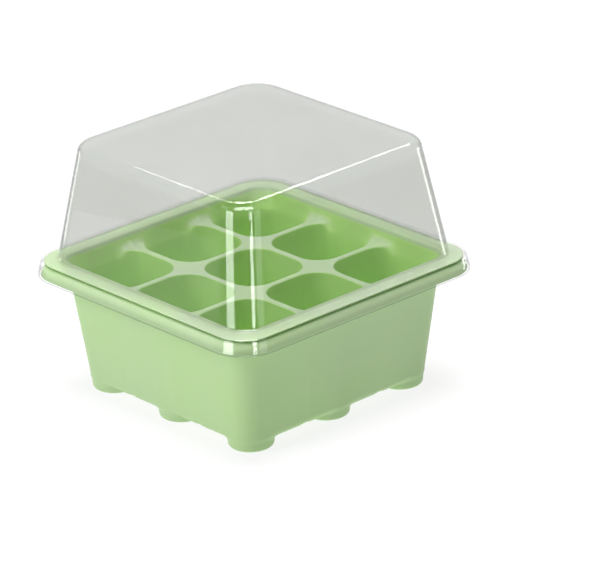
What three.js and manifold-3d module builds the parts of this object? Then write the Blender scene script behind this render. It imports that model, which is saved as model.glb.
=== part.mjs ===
// Humidity dome tray: a green outer tray on nine low feet, a green insert with 3 x 3 planting cells that
// hangs in it by its flange, and a clear dome lid that sits over both. Every piece is one thin formed sheet.
// Millimetres, +Z up. The origin is on the floor, under the centre of the tray.
import * as THREE from "three";
import { mergeVertices } from "three/addons/utils/BufferGeometryUtils.js";
import Module from "manifold-3d";

const CORNER_STEPS = 6; // facets round each corner of the tray and the dome
const CELL_STEPS = 5; // facets round each corner of a cell
const FOOT_STEPS = 4; // facets round each quarter of a foot

// Base tray
const BASE_SHEET = 0.6;
const FLOOR_Z = 4.2; // underside of the floor between the feet
const FLOOR_FILLET = 3.5;
const WALL_FOOT = { half: 56.9, radius: 11, z: 0 }; // the drafted wall's line, carried down to the ground
const WALL_TOP = { half: 62.9, radius: 11, z: 56 };
const RIM_ROOT = { half: 63.6, radius: 9.6, z: 61.2 }; // the wall flares a little under the rim
const RIM_TOP = { half: 64.7, radius: 9.8, z: 63.1 };
const RIM_EDGE = { half: 70.5, radius: 14, z: 62.3 };
const SKIRT_END = { half: 73.7, radius: 16.2, z: 56.6 };
const RIM_SHEET = 1.1; // the rim is thicker than the walls, seen from above
const FOOT_PITCH = 46.5;
const FOOT_PROFILE = [
  [8.8, 0],
  [9.8, 0.4],
  [10.3, 1.3],
  [10.6, 2.8],
  [10.8, 4.8],
  [10.95, 7],
];

// Cell tray
const CELL_SHEET = 0.5;
const WEB_SHEET = 0.8; // the flat web that joins the cells' mouths
const CELL_PITCH = 41.6;
const CELL_MOUTH = { half: 19.8, radius: 12.5, z: 58.3 };
const CELL_FOOT = { half: 13.4, radius: 8.6, z: 11.5 };
const CELL_CHAMFER = { half: 12.9, radius: 8.2, z: 10.1 };
const CELL_FLOOR = { half: 11.9, radius: 7.4, z: 9.5 };
const DRAIN_RADIUS = 3.5;
const DRAIN_STEPS = 16;
const HEAD_FOOT = { half: 61.5, radius: 9.2, z: 58.3 }; // the headspace wall meets the web here
const HEAD_TOP = { half: 62.4, radius: 8.3, z: 62.3 };
const FLANGE_IN = { half: 64.4, radius: 9.5, z: 64.1 };
const FLANGE_OUT = { half: 72, radius: 15, z: 63.5 };

// Dome lid
const DOME_SHEET = 0.45;
const DOME_TOP_FILLET = 4.5;
const DOME_FILLET_STEPS = 5;
const DOME_TOP = { half: 58.6, radius: 14.2, z: 120.2 };
const DOME_FOOT = { half: 67.5, radius: 15.4, z: 65.6 };
const DOME_FLANGE_INSET = 0.4; // the flange's underside turns the corner this much nearer the middle
const DOME_FLANGE_IN = { half: 68.3, radius: 15.8, z: 64.7 };
const DOME_FLANGE_OUT = { half: 73.2, radius: 16.2, z: 64.3 };
const DOME_SKIRT_TOP = { half: 73.9, radius: 16.9, z: 63.6 };
const DOME_SKIRT_STEP = { half: 74, radius: 17, z: 61.4 };
const DOME_SKIRT_LOW = { half: 75, radius: 17.8, z: 58.6 };
const DOME_SKIRT_END = { half: 75, radius: 17.8, z: 56.7 };

const wasm = await Module();
wasm.setup();

// A ring is a rounded square: half its width, its corner radius and its height.
const ring = (half, radius, z) => ({ half, radius, z });
const inset = (r, by, z = r.z) => ring(r.half - by, Math.max(r.radius - by, 0.2), z);
const between = (a, b, t) => ring(...["half", "radius", "z"].map((k) => a[k] + (b[k] - a[k]) * t));
const atHeight = (a, b, z) => between(a, b, (z - a.z) / (b.z - a.z));
const axis = (z) => ring(0, 0, z);

// Revolves a column of rings about Z and then pushes each quarter out to its corner, so that every ring
// becomes a rounded square. The column starts and ends on the axis.
function roundedSquare(rings, steps) {
  const sides = 4 * steps;
  const half = Math.PI / sides;
  const profile = rings.map((r) => new THREE.Vector2(r.radius / Math.cos(half), r.z));
  const geometry = new THREE.LatheGeometry(profile, sides, half);
  geometry.rotateX(Math.PI / 2);
  const at = geometry.getAttribute("position");
  for (let i = 0; i <= sides; i++) {
    const phi = half + (i * 2 * Math.PI) / sides;
    rings.forEach((r, j) => {
      const core = r.half - r.radius;
      const n = i * rings.length + j;
      at.setX(n, at.getX(n) + core * Math.sign(Math.sin(phi)));
      at.setY(n, at.getY(n) - core * Math.sign(Math.cos(phi)));
    });
  }
  return geometry;
}

// A quarter turn of a fillet in plan and height, from the wall ring down to a floor at z.
function fillet(wall, floorZ, size, steps) {
  return Array.from({ length: steps + 1 }, (_, i) => {
    const a = ((i / steps) * Math.PI) / 2;
    const inward = size * (1 - Math.cos(a));
    return ring(wall.half - inward, wall.radius - inward, floorZ + size * (1 - Math.sin(a)));
  });
}

function solid(geometry) {
  const bare = geometry.clone();
  bare.deleteAttribute("normal");
  bare.deleteAttribute("uv");
  const merged = mergeVertices(bare, 1e-4);
  return new wasm.Manifold(
    new wasm.Mesh({
      numProp: 3,
      vertProperties: merged.getAttribute("position").array,
      triVerts: new Uint32Array(merged.index.array),
    }),
  );
}

function surface(shape) {
  const mesh = shape.getMesh();
  const geometry = new THREE.BufferGeometry();
  geometry.setAttribute("position", new THREE.BufferAttribute(mesh.vertProperties, 3));
  geometry.setIndex(new THREE.BufferAttribute(mesh.triVerts, 1));
  geometry.computeVertexNormals();
  return geometry;
}

// The nine positions of a 3 x 3 grid.
const grid = (pitch) => [-1, 0, 1].flatMap((i) => [-1, 0, 1].map((j) => [i * pitch, j * pitch]));

// The same shape at each position of the grid, added to or cut from a body.
const addEach = (body, shape, pitch) =>
  grid(pitch).reduce((all, [x, y]) => all.add(shape.translate([x, y, 0])), body);
const cutEach = (body, shape, pitch) =>
  grid(pitch).reduce((all, [x, y]) => all.subtract(shape.translate([x, y, 0])), body);

// Base tray: the whole outside, out and up the wall and round the rim's skirt, on nine round feet, with
// the same shape one sheet smaller cut out of it.
function baseTray() {
  const wall = (z) => atHeight(WALL_FOOT, WALL_TOP, z);
  const insideWall = (z) => inset(wall(z), BASE_SHEET);
  const insideZ = FLOOR_Z + BASE_SHEET;
  const insideFillet = FLOOR_FILLET - BASE_SHEET;
  const outside = roundedSquare(
    [
      axis(FLOOR_Z),
      ...fillet(wall(FLOOR_Z + FLOOR_FILLET), FLOOR_Z, FLOOR_FILLET, 4).reverse(),
      WALL_TOP,
      RIM_ROOT,
      inset(RIM_TOP, 0.1, RIM_TOP.z - RIM_SHEET),
      inset(RIM_EDGE, 0.4, RIM_EDGE.z - RIM_SHEET),
      inset(RIM_EDGE, -0.3, RIM_EDGE.z - RIM_SHEET - 0.8),
      inset(SKIRT_END, BASE_SHEET),
      SKIRT_END,
      inset(RIM_EDGE, -1.3, RIM_EDGE.z - 1),
      inset(RIM_EDGE, -0.6, RIM_EDGE.z - 0.3),
      RIM_EDGE,
      RIM_TOP,
      axis(RIM_TOP.z),
    ],
    CORNER_STEPS,
  );
  const inside = roundedSquare(
    [
      axis(insideZ),
      ...fillet(insideWall(insideZ + insideFillet), insideZ, insideFillet, 4).reverse(),
      inset(WALL_TOP, BASE_SHEET),
      inset(RIM_ROOT, BASE_SHEET),
      inset(RIM_TOP, 0.8, RIM_TOP.z - 0.6),
      inset(RIM_TOP, 0.1, RIM_TOP.z - 0.05),
      inset(RIM_TOP, 0, RIM_TOP.z + 0.5),
      axis(RIM_TOP.z + 0.5),
    ],
    CORNER_STEPS,
  );
  const column = (by) => {
    const rings = FOOT_PROFILE.map(([radius, z]) => ring(radius - by, radius - by, z + by));
    return roundedSquare([axis(by), ...rings, axis(rings.at(-1).z)], FOOT_STEPS);
  };
  const whole = addEach(solid(outside), solid(column(0)), FOOT_PITCH);
  return cutEach(whole.subtract(solid(inside)), solid(column(BASE_SHEET)), FOOT_PITCH);
}

// Cell tray: the flange and headspace wall down to the flat web, with nine tapered cells hung below it.
function cellTray() {
  const outer = (r) => inset(r, -CELL_SHEET);
  const tub = roundedSquare(
    [
      axis(CELL_MOUTH.z - WEB_SHEET),
      inset(HEAD_FOOT, -CELL_SHEET, CELL_MOUTH.z - WEB_SHEET),
      outer(HEAD_TOP),
      inset(FLANGE_IN, 0, FLANGE_IN.z - CELL_SHEET),
      inset(FLANGE_OUT, 0.2, FLANGE_OUT.z - CELL_SHEET),
      FLANGE_OUT,
      FLANGE_IN,
      inset(HEAD_TOP, -1, HEAD_TOP.z + 1.4),
      inset(HEAD_TOP, -0.3, HEAD_TOP.z + 0.8),
      HEAD_TOP,
      HEAD_FOOT,
      axis(CELL_MOUTH.z),
    ],
    CORNER_STEPS,
  );
  const cup = roundedSquare(
    [
      axis(CELL_FLOOR.z - CELL_SHEET),
      inset(CELL_FLOOR, 0, CELL_FLOOR.z - CELL_SHEET),
      inset(CELL_CHAMFER, -0.3, CELL_CHAMFER.z - 0.4),
      outer(CELL_FOOT),
      inset(CELL_MOUTH, -CELL_SHEET, CELL_MOUTH.z - 0.1),
      axis(CELL_MOUTH.z - 0.1),
    ],
    CELL_STEPS,
  );
  const cavity = roundedSquare(
    [
      axis(CELL_FLOOR.z),
      CELL_FLOOR,
      CELL_CHAMFER,
      CELL_FOOT,
      CELL_MOUTH,
      inset(CELL_MOUTH, -0.1, CELL_MOUTH.z + 1),
      axis(CELL_MOUTH.z + 1),
    ],
    CELL_STEPS,
  );
  const drain = new THREE.CylinderGeometry(DRAIN_RADIUS, DRAIN_RADIUS, 4, DRAIN_STEPS);
  drain.rotateX(Math.PI / 2);
  drain.translate(0, 0, CELL_FLOOR.z);
  const cups = addEach(solid(tub), solid(cup), CELL_PITCH);
  return cutEach(cutEach(cups, solid(cavity), CELL_PITCH), solid(drain), CELL_PITCH);
}

// Dome lid: one column over the outside from the middle of the top, down to the skirt's edge, and back up
// the inside.
function domeLid() {
  const shoulder = atHeight(DOME_TOP, DOME_FOOT, DOME_TOP.z - DOME_TOP_FILLET);
  const round = fillet(shoulder, 0, DOME_TOP_FILLET, DOME_FILLET_STEPS).map((r) =>
    ring(r.half, r.radius, DOME_TOP.z - r.z),
  );
  const outside = [
    ...round.reverse(),
    DOME_FOOT,
    DOME_FLANGE_IN,
    DOME_FLANGE_OUT,
    DOME_SKIRT_TOP,
    DOME_SKIRT_STEP,
    DOME_SKIRT_LOW,
    DOME_SKIRT_END,
  ];
  const down = (r, by) => ring(r.half, r.radius, r.z - by);
  const inside = outside.map((r, i) => {
    if (r.z > DOME_TOP.z - DOME_TOP_FILLET + 0.01) {
      const a = Math.PI / 2 - ((i / DOME_FILLET_STEPS) * Math.PI) / 2;
      return down(inset(r, DOME_SHEET * Math.cos(a)), DOME_SHEET * Math.sin(a));
    }
    if (r === DOME_FLANGE_IN || r === DOME_FLANGE_OUT) {
      return down(inset(r, DOME_FLANGE_INSET), DOME_SHEET);
    }
    return inset(r, DOME_SHEET);
  });
  return solid(
    roundedSquare(
      [axis(DOME_TOP.z - DOME_SHEET), ...inside, ...outside.reverse(), axis(DOME_TOP.z)],
      CORNER_STEPS,
    ),
  );
}

const green = new THREE.MeshStandardMaterial({ color: 0xb4d39b, roughness: 0.5, metalness: 0 });
const clear = new THREE.MeshStandardMaterial({
  color: 0xe8ebe6,
  roughness: 0.08,
  metalness: 0,
  transparent: true,
  opacity: 0.3,
});

function piece(name, shape, material) {
  const mesh = new THREE.Mesh(surface(shape), material);
  mesh.name = name;
  return mesh;
}

const humidityDomeTray = new THREE.Group();
humidityDomeTray.add(
  piece("base_tray", baseTray(), green),
  piece("cell_tray", cellTray(), green),
  piece("dome_lid", domeLid(), clear),
);

export default humidityDomeTray;
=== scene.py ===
"""Looks for the humidity dome tray: a green base tray on round feet, a green insert of planting cells and
a clear dome lid. Each piece is one smooth formed sheet, which replaces its faceted CAD node and rides on its
body. A sheet is a list of rings (half width, corner radius, height, ease), in mm, from the inside out."""

import math

import bmesh
import bpy
import numpy as np
from mathutils import Matrix, Vector


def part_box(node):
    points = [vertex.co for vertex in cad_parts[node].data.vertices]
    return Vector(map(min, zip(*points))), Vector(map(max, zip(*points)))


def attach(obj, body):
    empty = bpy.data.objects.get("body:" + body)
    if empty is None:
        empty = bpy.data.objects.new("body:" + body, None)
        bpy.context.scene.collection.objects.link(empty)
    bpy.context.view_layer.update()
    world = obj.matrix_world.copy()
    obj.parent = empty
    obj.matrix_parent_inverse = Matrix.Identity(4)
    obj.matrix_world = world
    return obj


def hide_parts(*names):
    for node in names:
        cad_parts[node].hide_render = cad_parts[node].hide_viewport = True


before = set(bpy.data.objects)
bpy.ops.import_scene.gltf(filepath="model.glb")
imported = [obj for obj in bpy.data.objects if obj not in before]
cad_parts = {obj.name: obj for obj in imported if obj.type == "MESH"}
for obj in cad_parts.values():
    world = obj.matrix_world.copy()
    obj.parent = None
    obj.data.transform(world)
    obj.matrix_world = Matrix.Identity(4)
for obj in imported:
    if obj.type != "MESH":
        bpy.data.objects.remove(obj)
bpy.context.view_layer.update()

MM = 0.001
CORNER = 18  # steps round each corner
NEAR, MIDDLE = 12, 22  # steps along a side beside each corner, and along its middle
CROSS = 12  # steps across a tile from the middle one's corner to the outline
EASE_MOST = 0.48  # the most of a straight stretch that one of its ends may round off
WELD = 0.004 * MM


def mm_box(node):
    low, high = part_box(node)
    return np.array(low) / MM, np.array(high) / MM


BASE_HALF, _, BASE_RIM = mm_box("base_tray")[1]
CELL_HALF, _, CELL_RIM = mm_box("cell_tray")[1]
DOME_HALF, _, DOME_TOP = mm_box("dome_lid")[1]
DOME_EDGE = mm_box("dome_lid")[0][2]

# ------------------------------------------------------------------------------------------- sheet building


def turned(points, quarter):
    """The points turned by that many quarter turns about Z."""
    c, s = ((1, 0), (0, 1), (-1, 0), (0, -1))[quarter % 4]
    x, y = points[..., 0], points[..., 1]
    return np.stack([c * x - s * y, s * x + c * y, *np.moveaxis(points[..., 2:], -1, 0)], axis=-1)


def outline(half, radius, z, split):
    """A rounded square, anticlockwise from the lower end of its +X side. split is where the tiles' border
    meets the side, as a share of its straight part."""
    core = half - radius
    share = np.concatenate([
        np.linspace(-1, -split, NEAR, endpoint=False),
        np.linspace(-split, split, MIDDLE, endpoint=False),
        np.linspace(split, 1, NEAR, endpoint=False),
    ])
    arc = np.linspace(0, math.pi / 2, CORNER, endpoint=False)
    x = np.concatenate([np.full(len(share), half), core + radius * np.cos(arc)])
    y = np.concatenate([share * core, core + radius * np.sin(arc)])
    quarter = np.stack([x, y, np.full(len(x), z)], axis=-1)
    return np.concatenate([turned(quarter, k) for k in range(4)])


def eased(rings, steps=6):
    """Rings of (half, radius, z) from rings with an ease, each turn rounded off over its ease."""
    out = [np.array(rings[0][:3], float)]
    for before, here, after in zip(rings, rings[1:], rings[2:]):
        p, q, r = (np.array(v[:3], float) for v in (before, here, after))
        spans = [min(here[3], EASE_MOST * math.hypot(*(e - q)[[0, 2]])) for e in (p, r)]
        if here[3] <= 0:
            out.append(q)
            continue
        a, b = (q + (e - q) * d / math.hypot(*(e - q)[[0, 2]]) for e, d in zip((p, r), spans))
        for t in np.linspace(0, 1, steps + 1):
            out.append((1 - t) ** 2 * a + 2 * t * (1 - t) * q + t * t * b)
    out.append(np.array(rings[-1][:3], float))
    return out


def reach(angle, half, radius):
    """How far a rounded square goes from its centre, in each direction."""
    c, s = np.abs(np.cos(angle)), np.abs(np.sin(angle))
    c, s = np.maximum(c, s), np.minimum(c, s)
    core = half - radius
    round_part = core * (c + s) + np.sqrt(np.maximum(radius**2 - core**2 * (c - s) ** 2, 0))
    return np.where(half / c * s <= core, half / c, round_part)


def inside_by(x, y, half, radius):
    """How far points are inside a rounded square about the origin: negative outside it."""
    qx, qy = np.abs(x) - (half - radius), np.abs(y) - (half - radius)
    out = np.hypot(np.maximum(qx, 0), np.maximum(qy, 0))
    return radius - out - np.minimum(np.maximum(qx, qy), 0)


def seen_from(centre, border):
    """The direction and the distance of a tile's border points from its centre."""
    arm = border[:, :2] - centre
    return np.arctan2(arm[:, 1], arm[:, 0]), np.hypot(arm[:, 0], arm[:, 1])


class Sheet:
    """The skin of one formed sheet, as rows of points in mm."""

    def __init__(self):
        self.points, self.faces, self.count = [], [], 0

    def rows(self, rows):
        """Joins closed rows of points, each to the next."""
        rows = np.array(rows, float)
        index = self.count + np.arange(rows.shape[0] * rows.shape[1]).reshape(rows.shape[:2])
        on = np.roll(index, -1, axis=1)
        self.faces.append(np.stack([index[:-1], on[:-1], on[1:], index[1:]], axis=-1).reshape(-1, 4))
        self.points.append(rows.reshape(-1, 3))
        self.count += rows.shape[0] * rows.shape[1]

    def piece(self, name, thickness, body, material, node):
        """The finished object: welded, given its thickness and set to ride on its body."""
        mesh = bpy.data.meshes.new(name)
        mesh.from_pydata((np.concatenate(self.points) * MM).tolist(), [], np.concatenate(self.faces).tolist())
        welded = bmesh.new()
        welded.from_mesh(mesh)
        bmesh.ops.remove_doubles(welded, verts=welded.verts, dist=WELD)
        bmesh.ops.recalc_face_normals(welded, faces=welded.faces)
        welded.to_mesh(mesh)
        welded.free()
        mesh.polygons.foreach_set("use_smooth", [True] * len(mesh.polygons))
        piece = bpy.data.objects.new(name, mesh)
        bpy.context.scene.collection.objects.link(piece)
        mesh.materials.append(material)
        wall = piece.modifiers.new("thickness", "SOLIDIFY")
        wall.thickness = thickness * MM
        wall.offset = -1
        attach(piece, body)
        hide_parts(node)
        return piece


def tiles(pitch, half, radius, z, split):
    """The borders of the nine tiles that share out a rounded square, as (centre, border points)."""
    edge = outline(half, radius, z, split)
    cut = split * (half - radius)
    quarter = len(edge) // 4
    corner, far, near = np.array([cut, cut, z]), np.array([half, cut, z]), np.array([half, -cut, z])

    def line(a, b, n):
        return np.linspace(a, b, n, endpoint=False)

    side = np.concatenate([
        line(corner * [1, -1, 1], near, CROSS),
        edge[NEAR:NEAR + MIDDLE],
        line(far, corner, CROSS),
        line(corner, corner * [1, -1, 1], MIDDLE),
    ])
    turn = np.concatenate([
        line(corner, far, CROSS),
        edge[NEAR + MIDDLE:quarter + NEAR],
        line(far[[1, 0, 2]], corner, CROSS),
    ])
    middle = np.concatenate([turned(line(corner * [1, -1, 1], corner, MIDDLE), k) for k in range(4)])
    found = [(np.array([0.0, 0.0]), middle)]
    for k in range(4):
        found.append((turned(np.array([pitch, 0.0]), k), turned(side, k)))
        found.append((turned(np.array([pitch, pitch]), k), turned(turn, k)))
    return found


# ------------------------------------------------------------------------------------------------ base tray
BASE_SHEET = 0.6
FLOOR = 4.2  # underside of the floor between the feet
FLOOR_ROUND = 3.5
FOOT_PITCH, FOOT_RADIUS, FOOT_DRAFT, FOOT_ROUND, FOOT_BLEND = 46.5, 10.35, 0.09, 1.5, 1.6
WALL_LOW, WALL_DRAFT, WALL_RADIUS = 56.9, 6 / 56, 11.0
WALL_FOOT = FLOOR + FLOOR_ROUND  # the flat wall starts here
MIDDLE_TILE = 23.0  # half the width of the middle foot's share of the floor
BASE_SPLIT = MIDDLE_TILE / (WALL_LOW + WALL_DRAFT * WALL_FOOT - WALL_RADIUS)
SKIRT_LOW = 56.6
HEIGHT_STEPS = 120  # heights tried to find the underside over a point
FOOT_RINGS = (0.02, 4, 7.5, 8.4, 8.8, 9.1, 9.4, 9.65, 9.9, 10.1, 10.3, 10.45, 10.6, 10.75, 10.9, 11.05)
FLOOR_SHARES = (0.04, 0.1, 0.18, 0.3, 0.45, 0.6, 0.74, 0.84, 0.91, 0.955, 0.98, 0.993)  # of the way on
ON_WALL = 0.05  # a border point this near the wall's outline is on it


def rounded(a, b, size):
    """The distance to a corner between two planes at distances a and b, rounded off."""
    a, b = a + size, b + size
    return np.minimum(np.maximum(a, b), 0) + np.hypot(np.maximum(a, 0), np.maximum(b, 0)) - size


def base_underside(x, y, centre):
    """The height of the tray's underside over each point: the floor, run smoothly into one foot."""
    height = np.linspace(0, WALL_FOOT, HEIGHT_STEPS)[:, None]
    wall = -inside_by(x, y, WALL_LOW + WALL_DRAFT * height, WALL_RADIUS)
    floor = rounded(wall, FLOOR - height, FLOOR_ROUND)
    away = np.hypot(x - centre[0], y - centre[1])
    foot = rounded(away - FOOT_RADIUS - FOOT_DRAFT * height, -height, FOOT_ROUND)
    near = np.maximum(FOOT_BLEND - np.abs(floor - foot), 0) / FOOT_BLEND
    solid = np.minimum(floor, foot) - near**2 * FOOT_BLEND / 4
    first = np.argmax(solid <= 0, axis=0)
    first[solid.min(axis=0) > 0] = len(height) - 1
    low = np.maximum(first - 1, 0)
    pick = np.arange(len(x))
    a, b = solid[low, pick], solid[first, pick]
    share = np.where(first > low, np.clip(a / np.where(a == b, 1, a - b), 0, 1), 0)
    return height[low, 0] + share * (height[first, 0] - height[low, 0])


def base_tray(material):
    sheet = Sheet()
    wall = (WALL_LOW + WALL_DRAFT * WALL_FOOT, WALL_RADIUS, WALL_FOOT)
    for centre, border in tiles(FOOT_PITCH, *wall, BASE_SPLIT):
        angle, far = seen_from(centre, border)
        foot = [np.full(len(far), r) for r in FOOT_RINGS]
        floor = [FOOT_RINGS[-1] + share * (far - FOOT_RINGS[-1]) for share in FLOOR_SHARES]
        rows = []
        for r in foot + floor:
            x, y = centre[0] + r * np.cos(angle), centre[1] + r * np.sin(angle)
            rows.append(np.stack([x, y, base_underside(x, y, centre)], axis=-1))
        edge_x, edge_y = border[:, :2].T
        on_wall = inside_by(edge_x, edge_y, *wall[:2]) < ON_WALL
        rise = np.where(on_wall, WALL_FOOT, base_underside(edge_x, edge_y, centre))
        sheet.rows([*rows, np.stack([edge_x, edge_y, rise], axis=-1)])
    rim = [
        (*wall, 0),
        (62.9, 11.0, 56.0, 3),
        (63.6, 9.6, 61.0, 1.5),
        (64.6, 9.8, BASE_RIM - BASE_SHEET, 1.2),
        (BASE_HALF - 2.5, 14.6, BASE_RIM - 1.2 - BASE_SHEET, 0.5),
        (BASE_HALF - BASE_SHEET, 15.6, SKIRT_LOW, 0),
    ]
    sheet.rows([outline(*ring, BASE_SPLIT) for ring in eased(rim)])
    return sheet.piece("base_tray_formed", -BASE_SHEET, "base", material, "base_tray")


# ------------------------------------------------------------------------------------------------ cell tray
CELL_SHEET = 0.5
CELL_PITCH = 41.6
WEB = 58.3  # top of the web between the cells
WEB_ROUND = 3.2  # where the web turns up into the headspace wall
MOUTH_ROUND = 0.8
LIP_IN = 0.85 * MOUTH_ROUND  # the lip's rounding starts this far inside the mouth's outline
BORDER_GAP = 0.03  # a cell's rings stop this far short of its tile's border
WEB_SHARES = (0.12, 0.3, 0.5, 0.7, 0.85, 0.95)  # of the way from the mouth to the border
HEAD_FOOT = (62.1, 8.8, WEB + WEB_ROUND)
HEAD_BLEND, HEAD_BLEND_START = 3.6, 1.6  # a cell this near the headspace wall runs straight up into it
HEAD_BESIDE = 0.5  # a border point this near the headspace wall is beside it
CELL_SPLIT = CELL_PITCH / 2 / (HEAD_FOOT[0] - HEAD_FOOT[1])
CELL_RINGS = [(3.5, 3.5, 9.5, 0), (8.5, 6.0, 9.5, 1), (11.8, 7.6, 9.7, 2.2), (13.4, 8.6, 12.0, 2.5)]
CELL_WALL_STEPS = 14
MOUTH = (19.8, 12.5, WEB)


def web_rise(x, y):
    """How far the web has turned up towards the headspace wall over each point."""
    left = np.clip(WEB_ROUND - inside_by(x, y, *HEAD_FOOT[:2]), 0, WEB_ROUND)
    return WEB_ROUND - np.sqrt(np.maximum(WEB_ROUND**2 - left**2, 0))


def smooth(value):
    """Eases from 0 to 1 as value does."""
    t = np.clip(value, 0, 1)
    return t * t * (3 - 2 * t)


def cell_tray(material):
    sheet = Sheet()
    lip = (MOUTH[0] - LIP_IN, MOUTH[1] - LIP_IN, WEB - MOUTH_ROUND)
    cell = eased([*CELL_RINGS, (*lip, 0)])[:-1]
    wall = [cell[-1] + (np.array(lip) - cell[-1]) * t for t in np.linspace(0, 1, CELL_WALL_STEPS)[1:-1]]
    mouth = []
    for turn in np.linspace(0, math.pi / 2, 7):
        out, up = MOUTH_ROUND * (1 - math.cos(turn)), MOUTH_ROUND * math.sin(turn)
        mouth.append(np.array(lip) + (out, out, up))
    for centre, border in tiles(CELL_PITCH, *HEAD_FOOT, CELL_SPLIT):
        angle, far = seen_from(centre, border)
        direction = np.stack([np.cos(angle), np.sin(angle)], axis=-1)
        edge = np.concatenate([border[:, :2], (WEB + web_rise(*border[:, :2].T))[:, None]], axis=-1)

        def row(r, z, on_web=False):
            flat = centre + r[:, None] * direction
            return np.concatenate([flat, z + (web_rise(*flat.T) if on_web else 0 * r)[:, None]], axis=-1)

        def ring_row(ring, on_web=False):
            return row(np.minimum(reach(angle, *ring[:2]), far - BORDER_GAP), ring[2], on_web)

        rows = [ring_row(ring) for ring in [*cell, *wall]]
        last = reach(angle, *mouth[-1][:2])
        top = [ring_row(ring, True) for ring in mouth]
        top += [row(last + share * (far - last), WEB, True) for share in WEB_SHARES]
        beside = smooth(1 - inside_by(*border[:, :2].T, *HEAD_FOOT[:2]) / HEAD_BESIDE)
        merge = (beside * smooth(HEAD_BLEND_START - (far - last) / HEAD_BLEND))[:, None]
        for k, ring in enumerate(top):
            straight = rows[-1] + (edge - rows[-1]) * (k + 1) / (len(top) + 1)
            top[k] = ring + (straight - ring) * merge
        sheet.rows([*rows, *top, edge])
    flange = [
        (*HEAD_FOOT, 0),
        (62.5, 8.4, 62.6, 0.9),
        (63.3, 8.9, CELL_RIM - 0.1, 0.7),
        (65.5, 10.3, CELL_RIM, 0.8),
        (CELL_HALF - 0.6, 14.6, CELL_RIM - 0.55, 0.5),
        (CELL_HALF, 15.0, CELL_RIM - 0.75, 0),
    ]
    sheet.rows([outline(*ring, CELL_SPLIT) for ring in eased(flange)])
    return sheet.piece("cell_tray_formed", CELL_SHEET, "insert", material, "cell_tray")


# ------------------------------------------------------------------------------------------------- dome lid
DOME_SHEET = 0.45
TOP_ROUND = 4.5
TOP_CORNER = 2.0  # the top's corners are this much rounder than its edges
TOP_EDGE, DOME_FOOT = (58.6, 14.2, DOME_TOP), (67.5, 15.4, 65.6)  # the ends of the wall's straight line
DOME_SPLIT = 0.4


def dome_lid(material):
    sheet = Sheet()
    top, foot = np.array(TOP_EDGE), np.array(DOME_FOOT)
    shoulder = top + (foot - top) * TOP_ROUND / (top[2] - foot[2])
    flat_half, flat_radius = shoulder[0] - TOP_ROUND, shoulder[1] - TOP_ROUND + TOP_CORNER
    rings = [(0, 0, DOME_TOP)]
    for t in np.linspace(0.01, 1, 14, endpoint=False):
        rings.append((flat_half * t, flat_radius * t, DOME_TOP))
    for turn in np.linspace(0, math.pi / 2, 13):
        left = 1 - math.sin(turn)
        rings.append((
            shoulder[0] - TOP_ROUND * left,
            shoulder[1] + (TOP_CORNER - TOP_ROUND) * left,
            DOME_TOP - TOP_ROUND * (1 - math.cos(turn)),
        ))
    wall = np.linspace(shoulder, foot, 16)
    flange = eased([
        (*wall[-2], 0),
        (*foot, 0.5),
        (68.3, 15.8, CELL_RIM + 0.6, 0.4),
        (DOME_HALF - 1.9, 16.2, CELL_RIM + 0.3, 0.4),
        (DOME_HALF - 1.35, 16.6, CELL_RIM - 0.5, 0.4),
        (DOME_HALF - 0.1, 17.7, 57.6, 0.4),
        (DOME_HALF, 17.8, DOME_EDGE, 0),
    ])
    sheet.rows([outline(*ring, DOME_SPLIT) for ring in [*rings, *wall[1:-2], *flange]])
    return sheet.piece("dome_lid_formed", DOME_SHEET, "lid", material, "dome_lid")


# ------------------------------------------------------------------------------------------------ materials


class Nodes:
    """A material's node tree, with short calls for the nodes the plastics share."""

    def __init__(self, name):
        self.material = bpy.data.materials.new(name)
        self.material.use_nodes = True
        self.tree = self.material.node_tree
        self.tree.nodes.clear()
        self.output = self.tree.nodes.new("ShaderNodeOutputMaterial")
        self.place = self.tree.nodes.new("ShaderNodeTexCoord").outputs["Object"]

    def node(self, kind, inputs=None, **settings):
        made = self.tree.nodes.new("ShaderNode" + kind)
        for key, value in settings.items():
            setattr(made, key, value)
        for key, value in (inputs or {}).items():
            if isinstance(value, bpy.types.NodeSocket):
                self.tree.links.new(value, made.inputs[key])
            else:
                made.inputs[key].default_value = value
        return made

    def noise(self, scale, detail=3.0, rough=0.55, stretch=(1, 1, 1)):
        spread = self.node("Mapping", {"Vector": self.place, "Scale": stretch})
        return self.node("TexNoise", {
            "Vector": spread.outputs[0], "Scale": scale, "Detail": detail, "Roughness": rough,
        }).outputs["Fac"]

    def ramp(self, value, low, high, to_low=0.0, to_high=1.0):
        return self.node("MapRange", {0: value, 1: low, 2: high, 3: to_low, 4: to_high}).outputs[0]

    def above(self, low, high):
        """0 below one height and 1 above another, in mm."""
        height = self.node("SeparateXYZ", {0: self.place}).outputs[2]
        return self.ramp(height, low * MM, high * MM)

    def maths(self, operation, a, b):
        return self.node("Math", {0: a, 1: b}, operation=operation).outputs[0]

    def mix(self, share, a, b):
        made = self.node("Mix", {0: share}, data_type="RGBA")
        for index, value in ((6, a), (7, b)):
            if isinstance(value, bpy.types.NodeSocket):
                self.tree.links.new(value, made.inputs[index])
            else:
                made.inputs[index].default_value = (*value, 1)
        return made.outputs[2]

    def bump(self, height, distance, strength, under=None):
        inputs = {"Height": height, "Distance": distance, "Strength": strength}
        if under is not None:
            inputs["Normal"] = under
        return self.node("Bump", inputs).outputs[0]

    def show(self, shader):
        self.tree.links.new(shader, self.output.inputs["Surface"])
        return self.material


GREEN_THROUGH = 0.2  # the share of light that a green sheet lets through
RIM_FADE = 0.3  # a rim's colour comes in over this height; on the base tray that colour is painted shade for the gap under the insert's flange
FLAT_FROM, FLAT_TO = 0.3, 0.85  # how far up a normal points where the skin colour starts, and is full; on the cell tray's tops that paler colour is partly painted sheen


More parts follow.
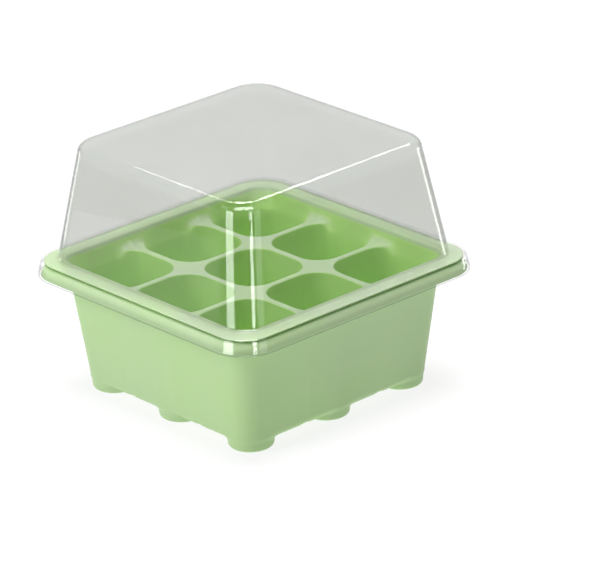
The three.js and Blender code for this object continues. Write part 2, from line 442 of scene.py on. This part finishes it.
def green_plastic(name, skin, drawn, glow, gloss, heights, rim, sheen_tops_only=False):
    """Formed green sheet: a little uneven in thickness, so in colour, with a satin finish and faint rubs.
    It has the skin colour above the higher of the two heights and the drawn colour below the lower one, and
    on upright walls too when only up-facing tops are to take the skin colour; on those tops the paler skin
    colour is partly painted sheen.
    rim is a height and the colour that the sheet has above it; on the base tray that colour is painted shade
    for the gap under the insert's flange. Some light passes through, in the glow colour."""
    n = Nodes(name)
    above = n.above(*heights)
    if sheen_tops_only:
        up = n.node("SeparateXYZ", {0: n.node("TexCoord").outputs["Normal"]}).outputs[2]
        above = n.maths("MULTIPLY", above, n.ramp(up, FLAT_FROM, FLAT_TO))
    thickness = n.noise(22, 4)
    flow = n.noise(60, 2, stretch=(1, 1, 0.15))
    paler = tuple(min(1, c * 1.25) for c in skin)
    colour = n.mix(above, drawn, skin)
    colour = n.mix(n.above(rim[0], rim[0] + RIM_FADE), colour, rim[1])
    colour = n.mix(n.ramp(thickness, 0.3, 0.7, 0, 0.25), colour, glow)
    colour = n.mix(n.ramp(flow, 0.55, 0.75, 0, 0.1), colour, paler)
    rub = n.ramp(n.noise(140, 5, 0.7, stretch=(1, 1, 0.4)), 0.58, 0.8, 0, 0.12)
    rough = n.maths("ADD", n.ramp(thickness, 0.3, 0.7, gloss - 0.03, gloss + 0.05), rub)
    grain = n.bump(n.noise(1500, 2), 0.00003, 0.25)
    grain = n.bump(n.noise(38, 2, 0.4), 0.0012, 0.16, grain)
    shader = n.node("BsdfPrincipled", {
        "Base Color": colour, "Roughness": rough, "Normal": grain, "IOR": 1.49, "Specular IOR Level": 0.42,
    })
    inner = n.mix(n.ramp(thickness, 0.3, 0.7, 0, 0.3), glow, drawn)
    through = n.node("BsdfTranslucent", {"Color": inner, "Normal": grain})
    both = n.node("MixShader", {0: GREEN_THROUGH, 1: shader.outputs[0], 2: through.outputs[0]})
    return n.show(both.outputs[0])


CLEAR, FLANGE_TINT, CUT_TINT = (1, 0.995, 1), (0.917, 0.92, 0.917), (0.82, 0.84, 0.83)
WALL_TINT, TOP_TINT, CLOUD_TINT = (0.862, 0.866, 0.856), (0.905, 0.910, 0.902), (0.74, 0.76, 0.73)
# the colours the clear sheet turns to at a slant: partly the longer path through the sheet, partly painted
# shade for the dark room it mirrors there; pale on the flange
SKIRT_SLANT_SHADE, FLANGE_SLANT_SHADE, WALL_SLANT_SHADE = (0.3, 0.31, 0.31), (0.9, 0.91, 0.9), (0.36, 0.36, 0.37)


def clear_plastic(name):
    """Clear formed sheet: it lets most light straight through, mirrors more at a slant and is darker there,
    partly from the longer path through the sheet and partly as painted shade for the dark room it mirrors at
    a slant, and has a faint haze. The drawn walls are greyest, then the top, then the flange round the foot.
    The skirt is clear, down to its grey cut edge."""
    n = Nodes(name)
    wave = n.bump(n.noise(26, 2, 0.4), 0.002, 0.03)
    wave = n.bump(n.noise(150, 2, 0.5), 0.0003, 0.05, wave)
    slant = n.node("LayerWeight", {"Blend": 0.5, "Normal": wave}).outputs["Facing"]
    drawn = n.mix(n.above(112, 119), WALL_TINT, TOP_TINT)
    drawn = n.mix(n.ramp(n.noise(18, 3), 0.3, 0.7, 0, 0.09), drawn, CLOUD_TINT)
    tint = n.mix(n.above(CELL_RIM - 0.4, CELL_RIM + 0.1), CLEAR, FLANGE_TINT)
    tint = n.mix(n.above(CELL_RIM + 0.9, CELL_RIM + 1.3), tint, drawn)
    tint = n.mix(n.above(DOME_EDGE + 0.4, DOME_EDGE + 0.6), CUT_TINT, tint)
    edge = n.mix(n.above(61.5, 62.5), SKIRT_SLANT_SHADE, FLANGE_SLANT_SHADE)
    edge = n.mix(n.above(66, 70), edge, WALL_SLANT_SHADE)
    # at a slant the clear colour turns to the slant shades: partly the longer path through the sheet, partly
    # painted shade
    tint = n.mix(n.maths("POWER", slant, 6.0), tint, edge)
    through = n.node("BsdfTransparent", {"Color": tint})
    cloud = n.node("BsdfDiffuse", {"Color": (0.9, 0.91, 0.9, 1)})
    haze = n.ramp(n.noise(30, 5, 0.65), 0.45, 0.8, 0.001, 0.006)
    body = n.node("MixShader", {0: haze, 1: through.outputs[0], 2: cloud.outputs[0]})
    mirror = n.node("BsdfGlossy", {
        "Color": (1, 1, 1, 1), "Roughness": n.ramp(n.noise(45, 4), 0.3, 0.7, 0.01, 0.03), "Normal": wave,
    })
    share = n.ramp(n.maths("POWER", slant, 5.0), 0, 1, 0.01, 0.4)
    both = n.node("MixShader", {0: share, 1: body.outputs[0], 2: mirror.outputs[0]})
    return n.show(both.outputs[0])


def floor_finish():
    """A pale light table, lit from within as well as from above."""
    n = Nodes("studio_floor")
    shade = n.mix(n.ramp(n.noise(6, 2), 0.3, 0.7), (0.14, 0.14, 0.14), (0.16, 0.16, 0.16))
    return n.show(n.node("BsdfPrincipled", {
        "Base Color": shade, "Roughness": 0.9, "Specular IOR Level": 0.1,
        "Emission Color": (1, 1, 1, 1), "Emission Strength": 0.85,
    }).outputs[0])


# --------------------------------------------------------------------------------------------------- pieces
base = base_tray(green_plastic(
    "base_green", skin=(0.59, 0.74, 0.455), drawn=(0.60, 0.79, 0.45), glow=(0.5, 0.9, 0.22),
    # above 61.7 mm the base is painted dark green: painted shade for the gap under the insert's flange
    gloss=0.42, heights=(50, 60), rim=(61.7, (0.37, 0.62, 0.2)),
))
cells = cell_tray(green_plastic(
    "cell_green", skin=(0.475, 0.57, 0.405), drawn=(0.61, 0.89, 0.335), glow=(0.56, 0.92, 0.18),
    # on up-facing tops above 58 mm the pale grey skin colour is partly painted sheen over the sheet's own
    # green
    gloss=0.36, heights=(54, 58), rim=(62.2, (0.54, 0.625, 0.47)), sheen_tops_only=True,
))
dome = dome_lid(clear_plastic("dome_clear"))

# ---------------------------------------------------------------------------------------------------- stage
FLOOR_SIZE = 12.0  # metres, as all of this section is
floor_mesh = bpy.data.meshes.new("studio_floor")
corners = [(x * FLOOR_SIZE / 2, y * FLOOR_SIZE / 2, 0) for x, y in ((-1, -1), (1, -1), (1, 1), (-1, 1))]
floor_mesh.from_pydata(corners, [], [(0, 1, 2, 3)])
floor_mesh.materials.append(floor_finish())
studio_floor = bpy.data.objects.new("studio_floor", floor_mesh)
bpy.context.scene.collection.objects.link(studio_floor)

AZIMUTH, ELEVATION, ROLL = math.radians(47.754), math.radians(22.921), math.radians(-1.838)
CAMERA_AWAY = 1.9503
AIM = Vector((0, 0, 0.0635))  # on the axis, at the height of the flanges
AIM_RIGHT, AIM_UP = -0.02131, 0.01428  # how far that point stands from the middle of the view
LENS, SENSOR = 256.83, 36  # mm


def studio_camera():
    """Looks at the front corner from a little above, with a long lens."""
    level = Vector((math.sin(AZIMUTH), -math.cos(AZIMUTH), 0))
    back = level * math.cos(ELEVATION) + Vector((0, 0, math.sin(ELEVATION)))
    right = Vector((math.cos(AZIMUTH), math.sin(AZIMUTH), 0))
    up = back.cross(right)
    right, up = (
        right * math.cos(ROLL) + up * math.sin(ROLL),
        up * math.cos(ROLL) - right * math.sin(ROLL),
    )
    place = AIM + back * CAMERA_AWAY - right * AIM_RIGHT - up * AIM_UP
    data = bpy.data.cameras.new("camera")
    data.lens, data.sensor_width, data.clip_end = LENS, SENSOR, 50
    camera = bpy.data.objects.new("camera", data)
    camera.matrix_world = Matrix.Translation(place) @ Matrix((right, up, back)).transposed().to_4x4()
    bpy.context.scene.collection.objects.link(camera)
    bpy.context.scene.camera = camera


studio_camera()


def soft_box(name, place, size, glow, target=AIM, gloss_only=False, on=None, along=None):
    """A rectangular lamp of one brightness all over, with its width level or along a direction. A gloss_only
    one shows in reflections and lights nothing, and one with a list to be on shines on those things alone."""
    data = bpy.data.lights.new(name, "AREA")
    data.shape, data.energy = "RECTANGLE", glow * math.pi * size[0] * size[1]
    data.size, data.size_y = size
    lamp = bpy.data.objects.new(name, data)
    back = (Vector(place) - target).normalized()
    across = Vector(along) if along else Vector((0, 0, 1)).cross(back)
    if across.length < 1e-6:
        across = Vector((1, 0, 0))
    across = (across - back * across.dot(back)).normalized()
    turn = Matrix((across, back.cross(across), back)).transposed().to_4x4()
    lamp.matrix_world = Matrix.Translation(place) @ turn
    lamp.visible_camera = False
    lamp.visible_diffuse = not gloss_only
    if on:
        only = bpy.data.collections.new(name + "_shines_on")
        for thing in on:
            only.objects.link(thing)
        lamp.light_linking.receiver_collection = only
    bpy.context.scene.collection.objects.link(lamp)


def around(azimuth, elevation, away, centre=(0, 0)):
    """A place seen from a centre in a direction: azimuth from -Y towards +X, elevation up from the rims."""
    a, e = math.radians(azimuth), math.radians(elevation)
    out = Vector((math.sin(a) * math.cos(e), -math.cos(a) * math.cos(e), math.sin(e)))
    return Vector((*centre, AIM.z)) + out * away


def glint(name, place, size, glow, target=AIM, along=None):
    """A lamp that only the dome mirrors."""
    soft_box(name, place, size, glow, target, gloss_only=True, on=[dome], along=along)


STRIP_LOW = 0.002


def strip(name, corner, azimuth, away, width, glow, high=0.16):
    """An upright strip light that stands near the floor, away from one of the lid's corners."""
    place = around(azimuth, 0, away, corner)
    place.z = (STRIP_LOW + high) / 2
    glint(name, place, (width, high - STRIP_LOW), glow, Vector((*corner, place.z)))


soft_box("overhead", (0, 0, 1.6), (1.0, 1.0), 13.8, on=[base, cells, studio_floor])
soft_box("key", (-0.55, -1.35, 0.95), (0.8, 0.9), 6.0)
soft_box("back_sheen", around(227.75, 24, 2.0), (2.6, 1.3), 0.9, gloss_only=True)
NEAR_CORNER, LEFT_CORNER, RIGHT_CORNER = (0.06, -0.06), (-0.065, -0.065), (0.065, 0.065)
strip("wide_strip", NEAR_CORNER, -1, 0.5, 0.25, 22, 0.145)
strip("narrow_strip", NEAR_CORNER, 75, 0.5, 0.1, 27, 0.12)
strip("faint_strip", NEAR_CORNER, 100, 0.5, 0.2, 5, 0.145)
strip("left_strip", LEFT_CORNER, -84, 0.3, 0.07, 5.5)
strip("right_strip", RIGHT_CORNER, 166, 0.3, 0.06, 13)
glint("high_front_a", around(33, 42.6, 1.0), (0.42, 0.66), 26)
glint("high_front_b", around(69.5, 42.6, 1.0), (0.5, 0.66), 26)
glint("left_sheen", (-0.186, -0.232, 0.03), (0.14, 0.05), 1.5, target=Vector((0, -0.064, 0.03)))
EDGE_LAMPS = 0.96  # the height of the lamps that the dome's top edges mirror
glint("edge_a", (-0.36, 0.82, EDGE_LAMPS), (0.3, 0.3), 20, along=(0, 1, 0))
glint("edge_b", (-0.27, 0.42, EDGE_LAMPS), (0.5, 0.16), 50, along=(0, 1, 0))
glint("edge_c", (-0.36, 0.2, EDGE_LAMPS), (0.3, 0.16), 40, along=(1, 0, 0))
glint("edge_d", (-0.5, 0.19, EDGE_LAMPS), (0.6, 0.1), 30, along=(1, 0, 0))

ROOM_LIGHT, ROOM_MIRRORED = 0.12, 0.38  # how bright the room is as light, and as seen in gloss
world = bpy.data.worlds.new("studio")
bpy.context.scene.world = world
world.use_nodes = True
room = world.node_tree
ray = room.nodes.new("ShaderNodeLightPath")
level = room.nodes.new("ShaderNodeMapRange")
level.inputs["To Min"].default_value, level.inputs["To Max"].default_value = ROOM_LIGHT, ROOM_MIRRORED
room.links.new(ray.outputs["Is Glossy Ray"], level.inputs["Value"])
room.nodes["Background"].inputs["Color"].default_value = (1, 1, 1, 1)
room.links.new(level.outputs["Result"], room.nodes["Background"].inputs["Strength"])

bpy.context.scene.view_settings.view_transform = "Standard"
